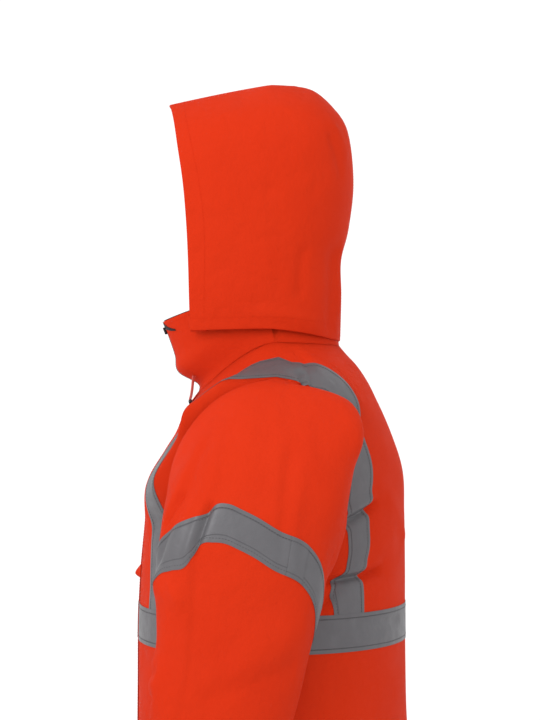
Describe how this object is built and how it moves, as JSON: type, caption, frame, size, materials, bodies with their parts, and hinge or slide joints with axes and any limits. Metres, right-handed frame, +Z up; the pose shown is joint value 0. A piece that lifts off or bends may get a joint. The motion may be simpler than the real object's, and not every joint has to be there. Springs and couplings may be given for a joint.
{
  "type": "hi-vis work jacket",
  "caption": "Hooded high-visibility work jacket in fluorescent cloth with reflective tape braces and bands, hollow and open, shaped as worn with the hood up.",
  "frame": {"origin": "the middle of the neck, level with the shoulders, where the wearer holds the jacket up", "axes": "+Z up the wearer, -Y out of the wearer's front, +X to the wearer's left"},
  "size_m": [0.6758, 0.3929, 1.1446],
  "materials": {
    "fluorescent_cloth": "coated woven polyester, matt",
    "reflective_tape": "retroreflective, satin",
    "dark_trim": "matt",
    "dark_lining": "matt"
  },
  "bodies": {
    "root": {"back": "fluorescent_cloth", "front_left": "fluorescent_cloth", "front_right": "fluorescent_cloth", "sleeve_left": "fluorescent_cloth", "sleeve_right": "fluorescent_cloth", "collar": "fluorescent_cloth", "hood_left": "fluorescent_cloth", "hood_right": "fluorescent_cloth", "storm_flap": "fluorescent_cloth", "drawcord": "fluorescent_cloth", "brace_left": "reflective_tape", "brace_right": "reflective_tape", "torso_band": "reflective_tape", "flap_band": "reflective_tape", "sleeve_band_left": "reflective_tape", "sleeve_band_right": "reflective_tape", "zip": "dark_trim", "zip_slider": "dark_trim", "zip_end": "dark_trim", "cord_stop": "dark_trim", "collar_lining": "dark_lining"}
  },
  "joints": []
}
